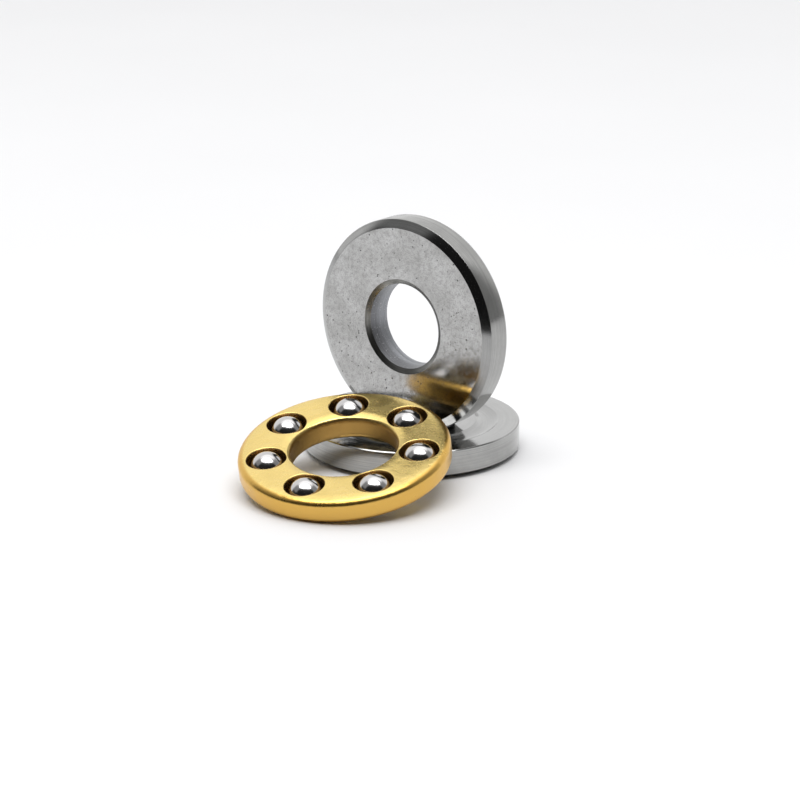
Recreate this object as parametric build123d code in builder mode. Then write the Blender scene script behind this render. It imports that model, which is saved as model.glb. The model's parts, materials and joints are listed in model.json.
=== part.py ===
from build123d import *
from math import cos, radians, sin, sqrt
import os

# A miniature single-direction thrust ball bearing, laid out apart: the housing washer lies
# flat with its raceway up, the shaft washer stands on edge across the housing washer's bore,
# and the cage with its balls leans on the housing washer's rim. All lengths are in millimetres.

# Bearing
shaft_bore_diameter = 4.0
housing_bore_diameter = 4.2
outside_diameter = 10.0
bearing_height = 4.0
pitch_diameter = 7.0
ball_diameter = 1.5875
ball_count = 7

# Washers: the seat side has wide chamfers, the raceway side has broken edges only
washer_thickness = 1.38
rim_chamfer_width = 0.38
rim_chamfer_height = 0.24
bore_chamfer_width = 0.24
bore_chamfer_height = 0.14
edge_break = 0.05
groove_radius = 0.54 * ball_diameter

# Cage
cage_outside_diameter = 9.56
cage_bore_diameter = 4.8
cage_thickness = 1.12
cage_rim_round = 0.3
cage_bore_round = 0.14
pocket_diameter = 1.8
pocket_mouth_round = 0.05
pocket_lip_diameter = 1.44
pocket_lip_height = 0.13

# Layout
shaft_washer_turn = 39.2
cage_lean = 13.7
cage_lean_heading = -114.0
cage_centre_x = -3.0
cage_centre_y = -6.13
first_ball_angle = -5.3
contact_gap = 0.015

# The balls roll between two grooves of one depth, set by the height of the closed bearing
race_gap = bearing_height - 2 * washer_thickness
groove_depth = (ball_diameter - race_gap) / 2
groove_half_width = sqrt(groove_radius**2 - (groove_radius - groove_depth) ** 2)

outside_radius = outside_diameter / 2
pitch_radius = pitch_diameter / 2
ball_radius = ball_diameter / 2
cage_outside_radius = cage_outside_diameter / 2
half_cage = cage_thickness / 2

# The standing washer's rim sinks between the two sides of the bore that it stands across
bore_edge_radius = housing_bore_diameter / 2 + edge_break
widest_offset = washer_thickness / 2 - edge_break
half_chord = sqrt(bore_edge_radius**2 - widest_offset**2)
standing_height = washer_thickness + sqrt(outside_radius**2 - half_chord**2) + contact_gap

# The leaning cage touches the table at the low side of its rounded rim
lean = radians(cage_lean)
heading = radians(cage_lean_heading)
rim_round_centre = cage_outside_radius - cage_rim_round
cage_centre_z = (
    rim_round_centre * sin(lean) + (half_cage - cage_rim_round) * cos(lean) + cage_rim_round + contact_gap
)

# Each plane stands at a piece's own reference point, with its normal along the piece's axis
seat_turn = radians(shaft_washer_turn)
seat_normal = Vector(-sin(seat_turn), -cos(seat_turn), 0)
housing_seat = Plane.XY
shaft_seat = Plane(
    origin=Vector(0, 0, standing_height) + seat_normal * (washer_thickness / 2),
    x_dir=(0, 0, 1),
    z_dir=-seat_normal,
)
cage_middle = Plane(
    origin=(cage_centre_x, cage_centre_y, cage_centre_z),
    x_dir=(cos(heading) * cos(lean), sin(heading) * cos(lean), -sin(lean)),
    z_dir=(cos(heading) * sin(lean), sin(heading) * sin(lean), cos(lean)),
)
ball_angles = [first_ball_angle + place * 360 / ball_count for place in range(ball_count)]


def axis_of(base):
    return Axis(base.origin, base.z_dir)


def section_of(base):
    # The half plane of a turned profile: x is the radius, y runs along the base plane's normal
    return Plane(origin=base.origin, x_dir=base.x_dir, z_dir=-base.y_dir)


def turn_washer(seat, bore_diameter):
    # Turned from the seat face at y = 0 up to the raceway face, with the groove at the pitch circle
    bore_radius = bore_diameter / 2
    with BuildPart() as washer:
        with BuildSketch(section_of(seat)):
            with BuildLine():
                Polyline(
                    (pitch_radius - groove_half_width, washer_thickness),
                    (bore_radius + edge_break, washer_thickness),
                    (bore_radius, washer_thickness - edge_break),
                    (bore_radius, bore_chamfer_height),
                    (bore_radius + bore_chamfer_width, 0),
                    (outside_radius - rim_chamfer_width, 0),
                    (outside_radius, rim_chamfer_height),
                    (outside_radius, washer_thickness - edge_break),
                    (outside_radius - edge_break, washer_thickness),
                    (pitch_radius + groove_half_width, washer_thickness),
                )
                ThreePointArc(
                    (pitch_radius + groove_half_width, washer_thickness),
                    (pitch_radius, washer_thickness - groove_depth),
                    (pitch_radius - groove_half_width, washer_thickness),
                )
            make_face()
        revolve(axis=axis_of(seat))
    return washer.part


def save(piece, name):
    piece.label = name
    export_step(piece, f"parts/{name}.step")


os.makedirs("parts", exist_ok=True)

# The housing washer lies on its seat face, raceway up, with the origin at the seat's centre
save(turn_washer(housing_seat, housing_bore_diameter), "housing_washer")

# The shaft washer stands on its rim with its seat face to the front and its raceway behind
save(turn_washer(shaft_seat, shaft_bore_diameter), "shaft_washer")

# The cage is one brass ring: rounded edges, and a stepped pocket for each ball
with BuildPart() as cage:
    with BuildSketch(section_of(cage_middle)):
        with Locations(((cage_bore_diameter / 2 + cage_outside_radius) / 2, 0)):
            ring = Rectangle(cage_outside_radius - cage_bore_diameter / 2, cage_thickness)
        fillet(ring.vertices().group_by(Axis.X)[-1], cage_rim_round)
        fillet(ring.vertices().group_by(Axis.X)[0], cage_bore_round)
    revolve(axis=axis_of(cage_middle))
    with BuildSketch(cage_middle.offset(half_cage)):
        with PolarLocations(pitch_radius, ball_count, first_ball_angle):
            Circle(pocket_diameter / 2)
    extrude(amount=pocket_lip_height - cage_thickness, mode=Mode.SUBTRACT)
    with BuildSketch(cage_middle.offset(-half_cage)):
        with PolarLocations(pitch_radius, ball_count, first_ball_angle):
            Circle(pocket_lip_diameter / 2)
    extrude(amount=cage_thickness, mode=Mode.SUBTRACT)
    top_edges = cage.edges().filter_by(GeomType.CIRCLE).filter_by(
        lambda edge: abs(cage_middle.to_local_coords(edge.center()).Z - half_cage) < edge_break
    )
    mouths = top_edges.filter_by(lambda edge: abs(edge.radius - pocket_diameter / 2) < edge_break)
    fillet(mouths, pocket_mouth_round)
save(cage.part, "cage")

# One ball in each pocket, centred in the cage's thickness
for number, angle in enumerate(ball_angles, start=1):
    place = (pitch_radius * cos(radians(angle)), pitch_radius * sin(radians(angle)), 0)
    with BuildPart(Plane(cage_middle.from_local_coords(place), z_dir=cage_middle.z_dir)) as ball:
        Sphere(ball_radius)
    save(ball.part, f"ball_{number}")
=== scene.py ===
import json
from math import atan2, cos, hypot, pi, radians, sin, sqrt

import bmesh
import bpy
from mathutils import Matrix, Vector


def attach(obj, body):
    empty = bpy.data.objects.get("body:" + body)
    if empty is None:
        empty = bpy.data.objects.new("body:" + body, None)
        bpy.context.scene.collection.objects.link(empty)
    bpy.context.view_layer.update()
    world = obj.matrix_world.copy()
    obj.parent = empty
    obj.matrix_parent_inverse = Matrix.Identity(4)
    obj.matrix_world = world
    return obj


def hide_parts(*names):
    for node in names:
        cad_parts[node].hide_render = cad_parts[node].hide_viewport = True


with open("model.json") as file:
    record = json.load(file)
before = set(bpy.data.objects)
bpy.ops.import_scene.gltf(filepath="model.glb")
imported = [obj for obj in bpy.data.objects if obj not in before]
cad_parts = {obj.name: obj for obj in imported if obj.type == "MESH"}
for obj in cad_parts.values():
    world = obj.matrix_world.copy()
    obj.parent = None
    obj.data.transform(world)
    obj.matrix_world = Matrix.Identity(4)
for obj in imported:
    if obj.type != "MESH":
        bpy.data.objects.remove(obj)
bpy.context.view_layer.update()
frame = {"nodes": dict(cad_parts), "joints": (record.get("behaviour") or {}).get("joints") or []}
joints = {joint["name"]: joint for joint in frame["joints"]}
mm = 0.001
print("frame loaded:", len(frame["nodes"]), "parts")


# Node trees: a wire is a socket that can be used in plain arithmetic

class Wire:
    def __init__(self, tree, socket):
        self.tree = tree
        self.socket = socket

    def calc(self, operation, *values):
        return self.tree.node("ShaderNodeMath", {"operation": operation}, dict(enumerate(values)))

    def __add__(self, other):
        return self.calc("ADD", self, other)

    def __sub__(self, other):
        return self.calc("SUBTRACT", self, other)

    def __rsub__(self, other):
        return self.calc("SUBTRACT", other, self)

    def __mul__(self, other):
        return self.calc("MULTIPLY", self, other)

    def __truediv__(self, other):
        return self.calc("DIVIDE", self, other)

    def __pow__(self, other):
        return self.calc("POWER", self, other)

    def __gt__(self, other):
        return self.calc("GREATER_THAN", self, other)

    def __lt__(self, other):
        return self.calc("LESS_THAN", self, other)

    __radd__ = __add__
    __rmul__ = __mul__

    def out(self, name):  # another output of the same node
        return Wire(self.tree, self.socket.node.outputs[name])


class Tree:
    def __init__(self, nodeTree):
        self.nodeTree = nodeTree

    def node(self, kind, settings=None, inputs=None, out=0):
        made = self.nodeTree.nodes.new(kind)
        for name, value in (settings or {}).items():
            if name == "choices":  # how many things an index switch picks from
                for _ in range(value - len(made.index_switch_items)):
                    made.index_switch_items.new()
            else:
                setattr(made, name, value)
        for name, value in (inputs or {}).items():
            if isinstance(value, Wire):
                self.nodeTree.links.new(value.socket, made.inputs[name])
            else:
                made.inputs[name].default_value = value
        return Wire(self, made.outputs[out]) if len(made.outputs) else None

    def mix(self, factor, low, high):  # colours, given as links or as red, green and blue
        low, high = ((*part, 1) if isinstance(part, tuple) else part for part in (low, high))
        inputs = {"Factor": factor, 6: low, 7: high}
        return self.node("ShaderNodeMix", {"data_type": "RGBA"}, inputs, out=2)

    def blend(self, factor, low, high):  # numbers
        return self.node("ShaderNodeMix", {"data_type": "FLOAT"}, {"Factor": factor, 2: low, 3: high})

    def vector(self, operation, first, second=None, out=0):
        inputs = {0: first} if second is None else {0: first, 1: second}
        return self.node("ShaderNodeVectorMath", {"operation": operation}, inputs, out)

    def scale(self, value, factor):
        inputs = {0: value, "Scale": factor}
        return self.node("ShaderNodeVectorMath", {"operation": "SCALE"}, inputs)

    def join(self, x, y, z):
        return self.node("ShaderNodeCombineXYZ", None, {"X": x, "Y": y, "Z": z})

    def split(self, value):  # its own socket is X, and out("Y") and out("Z") are the others
        return self.node("ShaderNodeSeparateXYZ", None, {"Vector": value})

    def ease(self, value, start, end, low=0.0, high=1.0):
        settings = {"interpolation_type": "SMOOTHSTEP"}
        inputs = {"Value": value, "From Min": start, "From Max": end, "To Min": low, "To Max": high}
        return self.node("ShaderNodeMapRange", settings, inputs)

    def noise(self, where, scale, detail=3.0, roughness=0.55, distortion=0.0):
        inputs = {"Vector": where, "Scale": scale, "Detail": detail, "Roughness": roughness,
                  "Distortion": distortion}
        return self.node("ShaderNodeTexNoise", None, inputs)


# Camera, light and table

cameraSet = {
    "target": (-0.54 * mm, 0.66 * mm, 2.05 * mm),
    "distance": 150 * mm,
    "elevation": radians(17.85),
    "lens": 145.0,
    "clipStart": 2 * mm,
    "clipEnd": 20.0,
}


def placeCamera():
    data = bpy.data.cameras.new("camera")
    camera = bpy.data.objects.new("camera", data)
    bpy.context.scene.collection.objects.link(camera)
    elevation = cameraSet["elevation"]
    away = Vector((0, -cos(elevation), sin(elevation)))
    camera.location = Vector(cameraSet["target"]) + away * cameraSet["distance"]
    camera.rotation_euler = (-away).to_track_quat("-Z", "Y").to_euler()
    data.lens = cameraSet["lens"]
    data.clip_start = cameraSet["clipStart"]
    data.clip_end = cameraSet["clipEnd"]
    bpy.context.scene.camera = camera


# Each light is the strength of one part of the room. Each edge gives where one part fades into
# the next, along one direction of a ray: side is X, depth is Y, up is Z
studio = {
    "backLight": 1.0,
    "topBackLight": 1.6,
    "topFrontLight": 0.40,
    "sideLight": 0.30,
    "leftLight": 0.03,
    "frontLight": 0.015,
    "seenLight": 1.0,
    "leftEdge": (-0.5, 0.3),  # side
    "leftTopEdge": (0.32, 0.48),  # up
    "frontEdge": (-0.40, -0.26),  # depth
    "backEdge": (0.20, 0.42),  # depth
    "topEdge": (0.74, 0.86),  # up
    "topRise": (-0.45, -0.05, 0.10),  # depth, and how much higher the top starts in front
    "topSplit": (-0.05, 0.30),  # depth
    "lampPlace": (-10 * mm, -60 * mm, 300 * mm),
    "lampSize": (380 * mm, 190 * mm),
    "lampPower": 0.77,
    "tableFront": -41 * mm,
    "tableReach": 3.0,
    "tableDrop": 0.01 * mm,
}


def lightRoom():
    # A white table and back wall under a large lamp: dim to the sides, dark low on the left, and
    # dark at the front, past the table's edge. The camera itself sees a white room all round
    world = bpy.data.worlds.new("studio")
    bpy.context.scene.world = world
    world.use_nodes = True
    world.node_tree.nodes.clear()
    tree = Tree(world.node_tree)
    side = tree.split(tree.node("ShaderNodeTexCoord").out("Generated"))
    depth, up = side.out("Y"), side.out("Z")
    riseStart, riseEnd, rise = studio["topRise"]
    low = tree.blend(tree.ease(side, *studio["leftEdge"]), studio["leftLight"], studio["sideLight"])
    low = tree.blend(tree.ease(up, *studio["leftTopEdge"]), low, studio["sideLight"])
    low = tree.blend(tree.ease(depth, *studio["frontEdge"]), studio["frontLight"], low)
    low = tree.blend(tree.ease(depth, *studio["backEdge"]), low, studio["backLight"])
    lift = tree.ease(depth, riseStart, riseEnd, rise, 0.0)
    top = tree.blend(tree.ease(depth, *studio["topSplit"]), studio["topFrontLight"], studio["topBackLight"])
    light = tree.blend(tree.ease(up - lift, *studio["topEdge"]), low, top)
    light = tree.blend(tree.node("ShaderNodeLightPath"), light, studio["seenLight"])
    background = tree.node("ShaderNodeBackground", None, {"Color": (1, 1, 1, 1), "Strength": light})
    tree.node("ShaderNodeOutputWorld", None, {"Surface": background})
    bpy.context.scene.view_settings.view_transform = "Standard"


def hangLamp():
    data = bpy.data.lights.new("lamp", "AREA")
    data.shape = "ELLIPSE"
    data.size, data.size_y = studio["lampSize"]
    data.energy = studio["lampPower"]
    lamp = bpy.data.objects.new("lamp", data)
    bpy.context.scene.collection.objects.link(lamp)
    lamp.location = studio["lampPlace"]
    lamp.rotation_euler = (-lamp.location).to_track_quat("-Z", "Y").to_euler()


def tableFinish():
    # matt white, very faintly clouded
    material = bpy.data.materials.new("whiteTable")
    material.use_nodes = True
    tree = Tree(material.node_tree)
    where = tree.node("ShaderNodeTexCoord").out("Object")
    cloud = tree.noise(where, 40.0, detail=2.0)
    shader = material.node_tree.nodes["Principled BSDF"]
    colour = tree.mix(cloud, (0.83, 0.83, 0.84), (0.87, 0.87, 0.88))
    material.node_tree.links.new(colour.socket, shader.inputs["Base Color"])
    shader.inputs["Roughness"].default_value = 0.6
    shader.inputs["Specular IOR Level"].default_value = 0.3
    return material


def layTable():
    reach, front, z = studio["tableReach"], studio["tableFront"], -studio["tableDrop"]
    mesh = bpy.data.meshes.new("table")
    corners = [(-reach, front, z), (reach, front, z), (reach, reach, z), (-reach, reach, z)]
    mesh.from_pydata(corners, [], [(0, 1, 2, 3)])
    mesh.materials.append(tableFinish())
    table = bpy.data.objects.new("table", mesh)
    bpy.context.scene.collection.objects.link(table)


placeCamera()
lightRoom()
hangLamp()
layTable()
print("camera, light and table set")


# Finishes. Every piece carries "turned", its own place on the lathe in millimetres: z runs along
# the axis, from the seat face to the raceway on a washer and from the middle on the cage

def startFinish(name):
    material = bpy.data.materials.new(name)
    material.use_nodes = True
    material.node_tree.nodes["Principled BSDF"].inputs["Metallic"].default_value = 1.0
    tree = Tree(material.node_tree)
    turned = tree.node("ShaderNodeAttribute", {"attribute_name": "turned"}).out("Vector")
    return material, tree, turned


def endFinish(material, tree, colour, roughness, height, depth):
    # height is a pattern of dents and lines, and depth is how deep one unit of it goes
    inputs = {"Strength": 1.0, "Distance": depth, "Height": height}
    normal = tree.node("ShaderNodeBump", None, inputs)
    shader = material.node_tree.nodes["Principled BSDF"]
    for socket, wire in {"Base Color": colour, "Roughness": roughness, "Normal": normal}.items():
        tree.nodeTree.links.new(wire.socket, shader.inputs[socket])
    return material


def latheLines(tree, turned, perMm, wander=0.6):
    # fine lines that run round the axis, each fading in and out on its way, with the radius and
    # the height they were cut at
    parts = tree.split(turned)
    height = parts.out("Z")
    flat = tree.join(parts, parts.out("Y"), 0.0)
    radius = tree.vector("LENGTH", flat, out=1)
    heading = tree.split(tree.vector("NORMALIZE", flat))
    along = (radius + height) * perMm
    where = tree.join(heading * wander, heading.out("Y") * wander, along)
    return tree.noise(where, 1.0, 4.0, 0.7), radius, height


# Tones, and how close together the clouds, stains, grains and pits lie
lappedLook = {
    "darkTone": (0.42, 0.42, 0.41),
    "lightTone": (0.57, 0.57, 0.565),
    "stainTone": (0.25, 0.245, 0.24),
    "grainDark": (0.24, 0.235, 0.23),
    "grainLight": (0.64, 0.64, 0.64),
    "pitTone": (0.04, 0.04, 0.04),
    "cloudPerMm": 0.7,
    "stainPerMm": 4.6,
    "grainPerMm": 17.0,
    "pitsPerMm": 4.0,
    "pitPatchPerMm": 1.3,
    "depth": 0.0010 * mm,
}


def lappedSteel():
    # the seat face: almost a mirror, clouded and grained, with small pits and brown-grey stains
    look = lappedLook
    material, tree, turned = startFinish("lappedSteel")
    cloud = tree.noise(turned, look["cloudPerMm"], 4.0, 0.6)
    mottle = tree.noise(turned, look["stainPerMm"], 5.0, 0.68)
    grain = tree.noise(turned, look["grainPerMm"], 4.0, 0.75)
    cells = tree.node("ShaderNodeTexVoronoi", None, {"Vector": turned, "Scale": look["pitsPerMm"]})
    raggedness = (tree.noise(turned, 14.0, 2.0) - 0.5) * 0.36
    patches = tree.ease(tree.noise(turned, look["pitPatchPerMm"], 3.0), 0.46, 0.54)
    pits = tree.ease(cells + raggedness, 0.17, 0.08) * patches
    stain = tree.ease(mottle, 0.44, 0.64)
    colour = tree.mix(tree.ease(cloud, 0.3, 0.7), look["darkTone"], look["lightTone"])
    colour = tree.mix(stain * 0.42, colour, look["stainTone"])
    colour = tree.mix(tree.ease(grain, 0.46, 0.64) * 0.62, colour, look["grainDark"])
    colour = tree.mix(tree.ease(grain, 0.42, 0.30) * 0.30, colour, look["grainLight"])
    colour = tree.mix(pits * 0.9, colour, look["pitTone"])
    roughness = 0.11 + 0.08 * stain + 0.15 * pits
    height = grain * 0.7 + mottle * 0.6 - pits * 3.0
    return endFinish(material, tree, colour, roughness, height, look["depth"])


# Zones of a washer that came off the lathe or the grinder: tone, roughness, lines in a millimetre,
# the lines' depth, and how much darker the dark lines are
lineLooks = {
    "groundRim": ((0.43, 0.43, 0.42), 0.12, 24.0, 0.0009 * mm, 0.26),
    "turnedSteel": ((0.40, 0.40, 0.395), 0.12, 30.0, 0.0008 * mm, 0.28),
    "groundLand": ((0.47, 0.47, 0.465), 0.15, 16.0, 0.0001 * mm, 0.11),
    "polishedGroove": ((0.44, 0.44, 0.435), 0.14, 16.0, 0.0001 * mm, 0.10),
    "boreEdge": ((0.30, 0.30, 0.285), 0.25, 20.0, 0.002 * mm, 0.5),
}


def linedSteel(name):
    # steel with fine lines round the axis, and clouds in its tone
    tone, roughness, perMm, depth, contrast = lineLooks[name]
    material, tree, turned = startFinish(name)
    lines = latheLines(tree, turned, perMm)[0]
    cloud = tree.ease(tree.noise(turned, 1.2, 4.0, 0.6), 0.35, 0.65)
    dark = tuple((1 - contrast) * part for part in tone)
    colour = tree.mix(tree.ease(lines, 0.35, 0.70), tone, dark)
    colour = tree.mix(cloud * 0.5, colour, dark)
    return endFinish(material, tree, colour, roughness * (0.7 + 0.9 * lines), lines, depth)


boreLook = {
    "darkTone": (0.20, 0.205, 0.215),
    "lightTone": (0.36, 0.37, 0.395),
    "seatEndTone": (0.11, 0.11, 0.115),
    "speckTone": (0.80, 0.80, 0.80),
    "linesPerMm": 22.0,
    "specksPerMm": 16.0,
    "depth": 0.003 * mm,
}


def boreSteel():
    # the bore wall: satin, slightly blue, darker to the seat end, with bright specks of torn metal
    look = boreLook
    material, tree, turned = startFinish("boreSteel")
    lines, _, height = latheLines(tree, turned, look["linesPerMm"])
    speck = tree.ease(tree.noise(turned, look["specksPerMm"], 2.0), 0.62, 0.74)
    colour = tree.mix(tree.ease(lines, 0.3, 0.7), look["darkTone"], look["lightTone"])
    colour = tree.mix(tree.ease(height, 1.05, 0.35) * 0.6, colour, look["seatEndTone"])
    colour = tree.mix(speck * 0.6, colour, look["speckTone"])
    return endFinish(material, tree, colour, 0.30 + 0.2 * lines, lines + speck * 2.0, look["depth"])


# The edges are in millimetres: where the rim's, the bore's and a pocket's painted shade comes in
brassLook = {
    "darkTone": (0.79, 0.59, 0.19),
    "lightTone": (0.91, 0.71, 0.28),
    # painted shade: the rim's darker, redder tone stands in for the shaded, brass-tinted light it reflects
    "rimShadeTone": (0.70, 0.405, 0.08),
    "rimLineTone": (0.70, 0.43, 0.11),
    "grainTone": (0.74, 0.52, 0.16),
    "nickTone": (0.56, 0.38, 0.12),
    # painted shade: the bore wall's dark brown
    "boreShadeTone": (0.38, 0.21, 0.055),
    # painted shade: the pocket walls' dark brown
    "pocketShadeTone": (0.40, 0.21, 0.07),
    "rimEdge": (4.46, 4.64),
    "boreEdge": (2.52, 2.42),
    "burrEdge": (2.62, 2.50),
    "pocketEdge": (0.935, 0.895),
    "linesPerMm": 20.0,
    "cloudPerMm": 1.1,
    "grainPerMm": 26.0,
    "nicksPerMm": 6.0,
    "burrsPerMm": 11.0,
    "depth": 0.0022 * mm,
}


def turnedBrass():
    # yellow brass: a fine grained face and softer edges and rim. Painted shade makes the rim and its edges
    # darker and redder, and the bore and the drilled pockets dark brown
    look = brassLook
    material, tree, turned = startFinish("turnedBrass")
    lines, radius, _ = latheLines(tree, turned, look["linesPerMm"])
    fromPocket = tree.node("ShaderNodeAttribute", {"attribute_name": "fromPocket"}).out("Fac")
    cloud = tree.noise(turned, look["cloudPerMm"], 4.0, 0.6)
    grain = tree.noise(turned, look["grainPerMm"], 3.0, 0.65)
    nick = tree.ease(tree.noise(turned, look["nicksPerMm"], 4.0, 0.7), 0.60, 0.74)
    rim = tree.ease(radius, *look["rimEdge"])
    bore = tree.ease(radius, *look["boreEdge"])
    pocket = tree.ease(fromPocket, *look["pocketEdge"])
    colour = tree.mix(cloud, look["darkTone"], look["lightTone"])
    # painted shade: the rim and its round take a darker, redder tone
    colour = tree.mix(rim * 0.9, colour, look["rimShadeTone"])
    colour = tree.mix(grain * 0.25, colour, look["grainTone"])
    colour = tree.mix(nick * 0.30, colour, look["nickTone"])
    colour = tree.mix(rim * lines * 0.5, colour, look["rimLineTone"])
    # painted shade: the bore wall is darkened to brown
    colour = tree.mix(bore * 0.85, colour, look["boreShadeTone"])
    # painted shade: the pocket walls are darkened to brown
    colour = tree.mix(pocket * 0.85, colour, look["pocketShadeTone"])
    roughness = 0.22 + 0.10 * cloud + 0.10 * nick + 0.10 * bore + 0.02 * rim
    burr = tree.noise(turned, look["burrsPerMm"], 3.0, 0.6) * tree.ease(radius, *look["burrEdge"])
    height = grain * 0.6 + cloud * 12.0 + lines * (rim + bore) * 1.2 - nick + burr * 3.5
    return endFinish(material, tree, colour, roughness, height, look["depth"])


ballLook = {
    "darkTone": (0.56, 0.55, 0.55),
    "lightTone": (0.66, 0.645, 0.645),
    "scratchTone": (0.45, 0.45, 0.45),
    "hazePerMm": 2.5,
    "scratchesPerMm": 9.0,
    "depth": 0.0004 * mm,
}


def polishedSteel():
    # the balls: a mirror with the faintest haze and hairline scratches
    look = ballLook
    material, tree, turned = startFinish("polishedSteel")
    haze = tree.noise(turned, look["hazePerMm"], 3.0)
    scratch = tree.ease(tree.noise(turned, look["scratchesPerMm"], 5.0, 0.8, 1.5), 0.62, 0.70)
    colour = tree.mix(haze, look["darkTone"], look["lightTone"])
    colour = tree.mix(scratch * 0.35, colour, look["scratchTone"])
    return endFinish(material, tree, colour, 0.13 + 0.06 * haze, haze - scratch * 0.5, look["depth"])


# Geometry trees

def startTree(name, sockets):
    group = bpy.data.node_groups.new(name, "GeometryNodeTree")
    group.interface.new_socket(name="Geometry", in_out="OUTPUT", socket_type="NodeSocketGeometry")
    for socketName, kind in sockets.items():
        group.interface.new_socket(name=socketName, in_out="INPUT", socket_type="NodeSocket" + kind)
    tree = Tree(group)
    return tree, tree.node("NodeGroupInput")


def shadeAndSeat(tree, given, geometry):
    # keeps each point's place on the lathe, in millimetres, for the finishes. Then it smooths the
    # shading and moves the piece from the lathe to its place in the bearing
    place = tree.node("GeometryNodeInputPosition")
    settings = {"data_type": "FLOAT_VECTOR", "domain": "POINT"}
    inputs = {"Geometry": geometry, "Name": "turned", "Value": tree.scale(place, 1 / mm)}
    geometry = tree.node("GeometryNodeStoreNamedAttribute", settings, inputs)
    inputs = {"Geometry": geometry, "Shade Smooth": True}
    geometry = tree.node("GeometryNodeSetShadeSmooth", None, inputs)
    turn = tree.node("FunctionNodeEulerToRotation", None, {"Euler": given.out("Turn")})
    inputs = {"Geometry": geometry, "Translation": given.out("Place"), "Rotation": turn}
    return tree.node("GeometryNodeTransform", None, inputs)


def endTree(tree, geometry, zones):
    # zones pairs each finish with the faces that take it, in order
    geometry = tree.node("GeometryNodeRealizeInstances", None, {"Geometry": geometry})
    for finish, faces in zones:
        inputs = {"Geometry": geometry, "Selection": faces, "Material": finish}
        geometry = tree.node("GeometryNodeSetMaterial", None, inputs)
    tree.node("NodeGroupOutput", None, {"Geometry": geometry})
    return tree.nodeTree


def runTree(name, group, values, mesh=None):
    # evaluates a tree once and keeps the result as a plain mesh at the origin
    piece = bpy.data.objects.new(name, mesh or bpy.data.meshes.new(name))
    bpy.context.scene.collection.objects.link(piece)
    modifier = piece.modifiers.new("shape", "NODES")
    modifier.node_group = group
    for item in group.interface.items_tree:
        if item.in_out == "INPUT" and item.name in values:
            modifier[item.identifier] = values[item.name]
    weighting = piece.modifiers.new("normals", "WEIGHTED_NORMAL")
    weighting.weight = 100
    bpy.context.view_layer.update()
    evaluated = piece.evaluated_get(bpy.context.evaluated_depsgraph_get())
    finished = bpy.data.meshes.new_from_object(evaluated)
    if finished.materials[0] is None:  # a primitive's own empty slot
        finished.materials.pop(index=0)
    piece.modifiers.clear()
    piece.data = finished
    finished.name = name
    return piece


def seatMatrix(centre, along, across):
    # the lathe's z goes along the first direction, and its x as near as it can to the second
    z = Vector(along).normalized()
    x = Vector(across)
    x = (x - z * x.dot(z)).normalized()
    turn = Matrix((x, z.cross(x), z)).transposed()
    return {"Place": Vector(centre), "Turn": Vector(turn.to_euler())}


def standFor(piece, node):
    # the piece is drawn for one part of the frame, and moves with its body
    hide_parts(node)
    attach(piece, node)


# Washers

washerSizes = {
    "Outside Radius": 5.0 * mm,
    "Thickness": 1.38 * mm,
    "Pitch Radius": 3.5 * mm,
    "Groove Radius": 0.54 * 1.5875 * mm,
    "Groove Depth": 0.17375 * mm,
    "Rim Chamfer Width": 0.38 * mm,
    "Rim Chamfer Height": 0.24 * mm,
    "Bore Chamfer Width": 0.24 * mm,
    "Bore Chamfer Height": 0.14 * mm,
    "Edge Break": 0.05 * mm,
    "Edge Round": 0.018 * mm,
}
washerSteps = {"Around": 320, "Groove Cuts": 23}
boreRadii = {"housing_washer": 2.1 * mm, "shaft_washer": 2.0 * mm}


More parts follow.
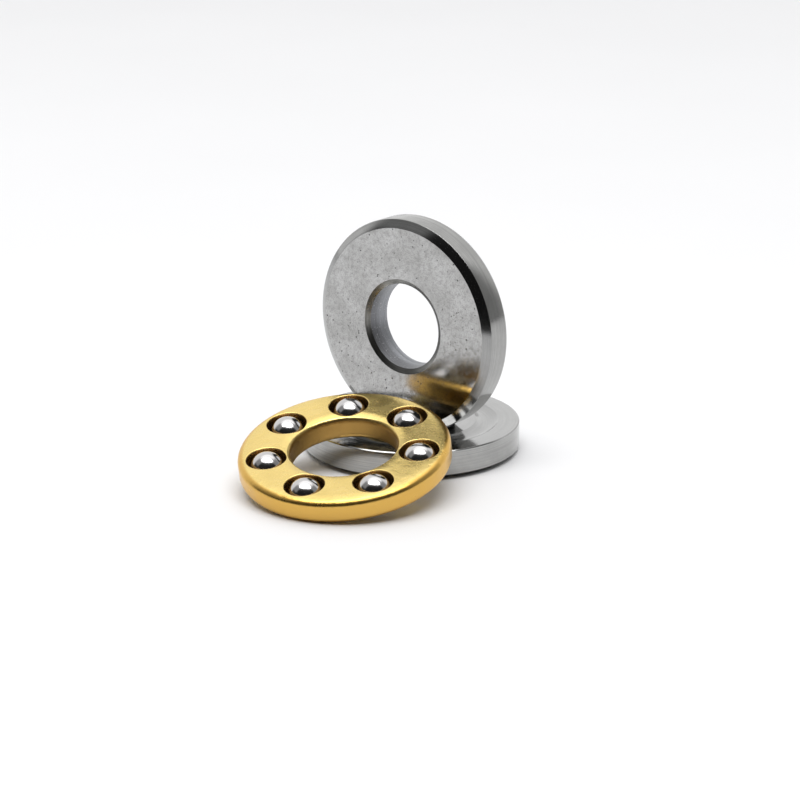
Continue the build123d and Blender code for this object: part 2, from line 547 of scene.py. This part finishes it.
def washerTree():
    sockets = {name: "Float" for name in washerSizes}
    sockets |= {"Bore Radius": "Float", "Around": "Int", "Groove Cuts": "Int", "Place": "Vector",
                "Turn": "Vector", "Seat Finish": "Material", "Rim Finish": "Material",
                "Chamfer Finish": "Material", "Land Finish": "Material", "Groove Finish": "Material",
                "Bore Finish": "Material", "Bore Edge Finish": "Material"}
    tree, given = startTree("turnedWasher", sockets)
    bore, outside = given.out("Bore Radius"), given.out("Outside Radius")
    thick, pitch = given.out("Thickness"), given.out("Pitch Radius")
    grooveRadius, depth = given.out("Groove Radius"), given.out("Groove Depth")
    edge = given.out("Edge Break")
    halfWidth = (grooveRadius * grooveRadius - (grooveRadius - depth) ** 2.0) ** 0.5
    corners = [
        (pitch - halfWidth, thick), (bore + edge, thick), (bore, thick - edge),
        (bore, given.out("Bore Chamfer Height")), (bore + given.out("Bore Chamfer Width"), 0.0),
        (outside - given.out("Rim Chamfer Width"), 0.0), (outside, given.out("Rim Chamfer Height")),
        (outside, thick - edge), (outside - edge, thick), (pitch + halfWidth, thick)]
    # the section: one point for each corner, then the groove's points between the last and the first
    index = tree.node("GeometryNodeInputIndex")
    line = tree.node("GeometryNodeMeshLine", None, {"Count": len(corners)})
    places = {"Index": index}
    places |= {number + 1: tree.join(x, y, 0.0) for number, (x, y) in enumerate(corners)}
    settings = {"data_type": "VECTOR", "choices": len(corners)}
    cornerPlace = tree.node("GeometryNodeIndexSwitch", settings, places)
    line = tree.node("GeometryNodeSetPosition", None, {"Geometry": line, "Position": cornerPlace})
    section = tree.node("GeometryNodeMeshToCurve", None, {"Mesh": line})
    section = tree.node("GeometryNodeSetSplineCyclic", None, {"Geometry": section, "Cyclic": True})
    isGroove = index > len(corners) - 1.5
    inputs = {"Curve": section, "Cuts": isGroove * given.out("Groove Cuts")}
    section = tree.node("GeometryNodeSubdivideCurve", None, inputs)
    spot = tree.split(tree.node("GeometryNodeInputPosition"))
    across = spot - pitch
    sink = (grooveRadius * grooveRadius - across * across) ** 0.5 - (grooveRadius - depth)
    inputs = {"Geometry": section, "Selection": index > len(corners) - 0.5,
              "Position": tree.join(spot, thick - sink, 0.0)}
    section = tree.node("GeometryNodeSetPosition", None, inputs)
    inputs = {"Curve": section, "Radius": (index < len(corners) - 0.5) * given.out("Edge Round"),
              "Limit Radius": True, "Count": 4}
    section = tree.node("GeometryNodeFilletCurve", {"mode": "POLY"}, inputs)
    # the section's x is the radius. It is swept round the pitch circle, so it is set about there
    inputs = {"Resolution": given.out("Around"), "Radius": pitch}
    circle = tree.node("GeometryNodeCurvePrimitiveCircle", {"mode": "RADIUS"}, inputs)
    outward = tree.join(spot - pitch, 0.0 - spot.out("Y"), 0.0)
    section = tree.node("GeometryNodeSetPosition", None, {"Geometry": section, "Position": outward})
    ring = tree.node("GeometryNodeCurveToMesh", None, {"Curve": circle, "Profile Curve": section})
    ring = tree.node("GeometryNodeFlipFaces", None, {"Mesh": ring})
    ring = shadeAndSeat(tree, given, ring)
    # a finish for each zone of the turned ring, told apart by its radius and height on the lathe
    settings = {"data_type": "FLOAT_VECTOR"}
    turned = tree.node("GeometryNodeInputNamedAttribute", settings, {"Name": "turned"})
    here = tree.split(tree.scale(turned, mm))
    z = here.out("Z")
    radius = tree.vector("LENGTH", tree.join(here, here.out("Y"), 0.0), out=1)
    near, rimNear = 0.004 * mm, 0.012 * mm
    inGroove = (radius > pitch - halfWidth) * (radius < pitch + halfWidth) * (z > thick * 0.5)
    zones = {
        "Chamfer Finish": z > -1.0,
        "Bore Edge Finish": radius < bore + given.out("Bore Chamfer Width") + near,
        "Seat Finish": z < near,
        "Land Finish": z > thick - near,
        "Rim Finish": radius > outside - rimNear,
        "Bore Finish": radius < bore + near,
        "Groove Finish": inGroove,
    }
    return endTree(tree, ring, [(given.out(finish), faces) for finish, faces in zones.items()])


def makeWashers():
    group = washerTree()
    finishes = {
        "Seat Finish": lappedSteel(),
        "Rim Finish": linedSteel("groundRim"),
        "Chamfer Finish": linedSteel("turnedSteel"),
        "Land Finish": linedSteel("groundLand"),
        "Groove Finish": linedSteel("polishedGroove"),
        "Bore Edge Finish": linedSteel("boreEdge"),
        "Bore Finish": boreSteel(),
    }
    spin = joints["shaft_washer_spin"]
    facing = Vector(spin["axis"])
    seatCentre = Vector(spin["pos_m"]) + facing * (washerSizes["Thickness"] / 2)
    seats = {
        "housing_washer": seatMatrix((0, 0, 0), (0, 0, 1), (1, 0, 0)),
        "shaft_washer": seatMatrix(seatCentre, -facing, (0, 0, 1)),
    }
    for node, seat in seats.items():
        values = washerSizes | washerSteps | finishes | seat | {"Bore Radius": boreRadii[node]}
        standFor(runTree(node + "_ring", group, values), node)
    print("washers turned")


# Cage. Sizes are in millimetres, and the steps divide its faces. The bore's round is taller than
# it is wide. A crown gives the radius it starts at and how far the top face has sunk at its edge

cageSizes = {
    "outsideRadius": 4.78,
    "boreRadius": 2.4,
    "thickness": 1.12,
    "rimRound": 0.3,
    "boreRound": 0.14,
    "boreRoundTall": 0.30,
    "boreCrown": (2.95, 0.11),
    "rimCrown": (4.05, 0.07),
    "pitchRadius": 3.5,
    "pocketRadius": 0.9,
    "mouthRound": 0.05,
    "lipRadius": 0.72,
    "lipHeight": 0.13,
    "lipRound": 0.02,
    "wallHeights": (0.45, 0.2, -0.1, -0.35),
    "pockets": 7,
    "outerSteps": 64,
    "innerSteps": 36,
    "sideSteps": 28,
    "faceSteps": 17,
    "roundSteps": 12,
    "mouthSteps": 6,
    "lipSteps": 4,
    "sewWithin": 0.0005,
}


def pocketSpokes():
    # directions out of a pocket's centre and how far the flat face runs along each, all round
    sizes = cageSizes
    pitch = sizes["pitchRadius"]
    outer = sizes["outsideRadius"] - sizes["rimRound"]
    inner = sizes["boreRadius"] + sizes["boreRound"]
    half = pi / sizes["pockets"]
    outerCorner = atan2(outer * sin(half), outer * cos(half) - pitch)
    innerCorner = atan2(inner * sin(half), inner * cos(half) - pitch)
    spokes = []

    def addSpokes(start, end, count, reach, kind):
        for step in range(count):
            angle = start + (end - start) * step / count
            spokes.append((angle, reach(angle), kind))

    def toRim(angle):
        return -pitch * cos(angle) + sqrt(outer**2 - (pitch * sin(angle)) ** 2)

    def toBore(angle):
        return -pitch * cos(angle) - sqrt(inner**2 - (pitch * sin(angle)) ** 2)

    def toLeft(angle):
        return pitch * sin(half) / sin(angle - half)

    def toRight(angle):
        return -pitch * sin(half) / sin(angle + half)

    addSpokes(-outerCorner, outerCorner, sizes["outerSteps"], toRim, "rim")
    addSpokes(outerCorner, innerCorner, sizes["sideSteps"], toLeft, "side")
    addSpokes(innerCorner, 2 * pi - innerCorner, sizes["innerSteps"], toBore, "bore")
    addSpokes(2 * pi - innerCorner, 2 * pi - outerCorner, sizes["sideSteps"], toRight, "side")
    return spokes


def arcPoints(centreR, centreZ, radius, start, end, count, tall=None):
    # points of a quarter round in the section, as (r, z); a tall one is longer along the axis
    angles = [start + (end - start) * step / count for step in range(count + 1)]
    tall = tall or radius
    return [(centreR + radius * cos(angle), centreZ + tall * sin(angle)) for angle in angles]


def crownAt(radius, height):
    # how far the tumbled top face has sunk towards the bore and the rim
    sizes = cageSizes
    boreStart, boreSink = sizes["boreCrown"]
    rimStart, rimSink = sizes["rimCrown"]
    toBore = max(0.0, (boreStart - radius) / (boreStart - sizes["boreRadius"]))
    toRim = max(0.0, (radius - rimStart) / (sizes["outsideRadius"] - rimStart))
    toTop = max(0.0, height / (sizes["thickness"] / 2))
    return (boreSink * toBore**2 + rimSink * toRim**2) * toTop**2


def pocketWall():
    # the section of a pocket from its mouth down over the lip, as (distance from its axis, z)
    sizes = cageSizes
    half = sizes["thickness"] / 2
    pocket, mouth = sizes["pocketRadius"], sizes["mouthRound"]
    lip, small = sizes["lipRadius"], sizes["lipRound"]
    lipTop = sizes["lipHeight"] - half
    lipSteps = sizes["lipSteps"]
    wall = arcPoints(pocket + mouth, half - mouth, mouth, pi / 2, pi, sizes["mouthSteps"])
    wall += [(pocket, height) for height in sizes["wallHeights"]]
    wall += arcPoints(pocket - small, lipTop + small, small, 0, -pi / 2, lipSteps)
    wall += arcPoints(lip + small, lipTop - small, small, pi / 2, pi, lipSteps)
    return wall + arcPoints(lip + small, small - half, small, pi, 3 * pi / 2, lipSteps)


def cageSector(finish):
    # one pocket and the seventh of the ring around it, with the pocket on +X
    sizes = cageSizes
    half, pitch = sizes["thickness"] / 2, sizes["pitchRadius"]
    spokes = pocketSpokes()
    work = bmesh.new()
    shares = [(1 - step / sizes["faceSteps"]) ** 1.5 for step in range(sizes["faceSteps"])]

    def loopAt(distance, height):
        made = []
        for angle, reach, kind in spokes:
            away = distance(reach)
            place = ((pitch + away * cos(angle)) * mm, away * sin(angle) * mm, height * mm)
            made.append(work.verts.new(place))
        return made

    def faceLoop(start, share, height):
        return loopAt(lambda reach: start + (reach - start) * share, height)

    # from the top face's edge in to the pocket, down its wall, over the lip and out below
    top = sizes["pocketRadius"] + sizes["mouthRound"]
    bottom = sizes["lipRadius"] + sizes["lipRound"]
    loops = [faceLoop(top, share, half) for share in shares]
    loops += [loopAt(lambda reach, r=r: r, z) for r, z in pocketWall()]
    loops += [faceLoop(bottom, share, -half) for share in reversed(shares)]
    for high, low in zip(loops, loops[1:]):
        for spot in range(len(spokes)):
            after = (spot + 1) % len(spokes)
            work.faces.new((high[spot], high[after], low[after], low[spot]))
    # the rim and the bore close the ring from the top face's edge to the bottom face's
    count, tall = sizes["roundSteps"], sizes["boreRoundTall"]
    rimRound, boreRound = sizes["rimRound"], sizes["boreRound"]
    rimR, boreR = sizes["outsideRadius"] - rimRound, sizes["boreRadius"] + boreRound
    rimSection = arcPoints(rimR, half - rimRound, rimRound, pi / 2, 0, count)[1:]
    rimSection += arcPoints(rimR, rimRound - half, rimRound, 0, -pi / 2, count)[:-1]
    boreSection = arcPoints(boreR, half - tall, boreRound, pi / 2, pi, count, tall)[1:]
    boreSection += arcPoints(boreR, tall - half, boreRound, pi, 3 * pi / 2, count, tall)[:-1]
    closeEdge(work, spokes, loops, "rim", rimSection)
    closeEdge(work, spokes, loops, "bore", boreSection)
    fromPocket = work.verts.layers.float.new("fromPocket")
    for vert in work.verts:
        vert[fromPocket] = hypot(vert.co.x / mm - pitch, vert.co.y / mm)
        vert.co.z -= crownAt(hypot(vert.co.x, vert.co.y) / mm, vert.co.z / mm) * mm
    mesh = bpy.data.meshes.new("cageSector")
    mesh.materials.append(finish)
    work.to_mesh(mesh)
    work.free()
    return mesh


def closeEdge(work, spokes, loops, kind, section):
    # strips along one arc of the sector, from the first loop's edge over the section to the last's
    spots = [spot for spot, spoke in enumerate(spokes) if spoke[2] == kind]
    spots.append((spots[-1] + 1) % len(spokes))
    strips = []
    for spot in spots:
        top = loops[0][spot]
        turn = atan2(top.co.y, top.co.x)
        strip = [top]
        for r, z in section:
            strip.append(work.verts.new((r * cos(turn) * mm, r * sin(turn) * mm, z * mm)))
        strip.append(loops[-1][spot])
        strips.append(strip)
    for left, right in zip(strips, strips[1:]):
        for step in range(len(left) - 1):
            work.faces.new((left[step], left[step + 1], right[step + 1], right[step]))


def repeatTree():
    # repeats a sector round the axis and sews the copies into one closed ring
    sockets = {"Sector": "Geometry", "Count": "Int", "Sew Within": "Float", "Place": "Vector",
               "Turn": "Vector", "Finish": "Material"}
    tree, given = startTree("repeatRound", sockets)
    count = given.out("Count")
    index = tree.node("GeometryNodeInputIndex")
    points = tree.node("GeometryNodePoints", None, {"Count": count, "Position": (0.0, 0.0, 0.0)})
    angle = tree.join(0.0, 0.0, index * 2 * pi / count)
    turn = tree.node("FunctionNodeEulerToRotation", None, {"Euler": angle})
    inputs = {"Points": points, "Instance": given.out("Sector"), "Rotation": turn}
    ring = tree.node("GeometryNodeInstanceOnPoints", None, inputs)
    ring = tree.node("GeometryNodeRealizeInstances", None, {"Geometry": ring})
    inputs = {"Geometry": ring, "Distance": given.out("Sew Within")}
    ring = tree.node("GeometryNodeMergeByDistance", None, inputs)
    return endTree(tree, shadeAndSeat(tree, given, ring), [(given.out("Finish"), True)])


def makeCage():
    spin = joints["cage_spin"]
    brass = turnedBrass()
    values = seatMatrix(spin["pos_m"], spin["axis"], joints["ball_1_roll"]["axis"])
    values |= {"Count": cageSizes["pockets"], "Sew Within": cageSizes["sewWithin"] * mm, "Finish": brass}
    cage = runTree("cage_ring", repeatTree(), values, cageSector(brass))
    standFor(cage, "cage")
    print("cage made")


# Balls

ballSizes = {"Radius": 1.5875 / 2 * mm, "Fineness": 6}


def ballTree():
    sockets = {"Radius": "Float", "Fineness": "Int", "Place": "Vector", "Turn": "Vector",
               "Finish": "Material"}
    tree, given = startTree("ball", sockets)
    inputs = {"Radius": given.out("Radius"), "Subdivisions": given.out("Fineness")}
    ball = tree.node("GeometryNodeMeshIcoSphere", None, inputs)
    return endTree(tree, shadeAndSeat(tree, given, ball), [(given.out("Finish"), True)])


def makeBalls():
    group = ballTree()
    values = ballSizes | {"Finish": polishedSteel()}
    upright = joints["cage_spin"]["axis"]
    for number in range(1, cageSizes["pockets"] + 1):
        node = f"ball_{number}"
        roll = joints[node + "_roll"]
        seat = seatMatrix(roll["pos_m"], roll["axis"], upright)
        standFor(runTree(node + "_steel", group, values | seat), node)
    print("balls made")


makeWashers()
makeCage()
makeBalls()
